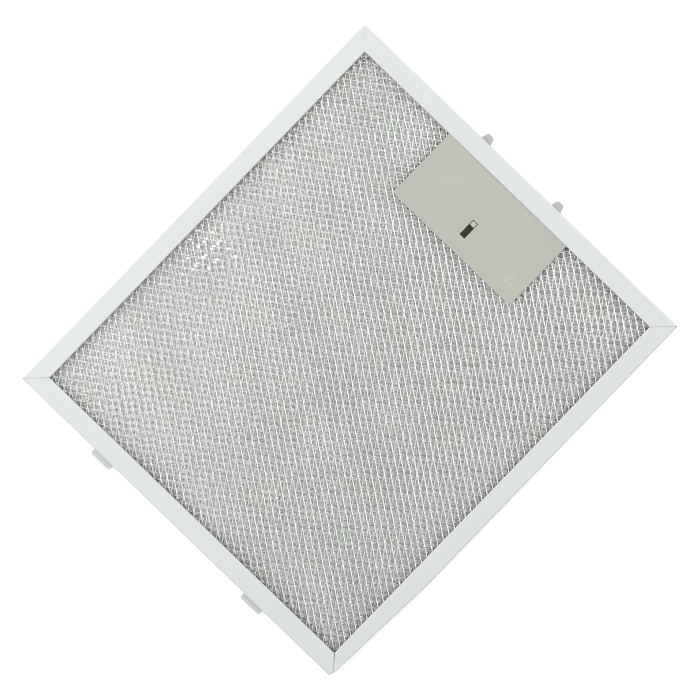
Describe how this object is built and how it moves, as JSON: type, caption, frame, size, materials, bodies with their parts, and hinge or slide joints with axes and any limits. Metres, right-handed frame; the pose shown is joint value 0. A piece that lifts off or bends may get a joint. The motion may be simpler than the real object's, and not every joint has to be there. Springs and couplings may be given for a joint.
{
  "type": "cooker hood grease filter",
  "caption": "Flat cooker hood grease filter: an aluminium channel frame round a pad of expanded mesh, with a sprung latch on one short side.",
  "frame": {"origin": "centre of the back face, on the plane that the back lips rest on", "axes": "+X from the locating tabs to the latch, along the long sides; +Z from the back face to the front face"},
  "size_m": [0.3141, 0.2694, 0.009],
  "materials": {
    "frame_metal": "satin, rolled strip",
    "mesh_metal": "bright, as cut and stretched",
    "layer_metal": "bright, as cut and stretched",
    "latch_plastic": "moulded, fine matt grain",
    "slider_plastic": "moulded, fine matt grain",
    "spring_steel": "drawn wire"
  },
  "bodies": {
    "filter": {"frame": "frame_metal", "front_mesh": "mesh_metal", "filter_layer_1": "layer_metal", "filter_layer_2": "layer_metal", "filter_layer_3": "layer_metal", "back_mesh": "mesh_metal", "latch_cover": "latch_plastic", "latch_housing": "latch_plastic", "latch_spring_left": "spring_steel", "latch_spring_right": "spring_steel"},
    "slider": {"latch_slider": "slider_plastic"}
  },
  "joints": [
    {"name": "latch_slide", "type": "slide", "parent": "filter", "child": "slider", "axis": [-1, 0, 0], "range_m": [0, 0.006], "stiffness_N_per_m": 500, "springref_m": -0.006, "deforming": ["latch_spring_left", "latch_spring_right"]}
  ]
}
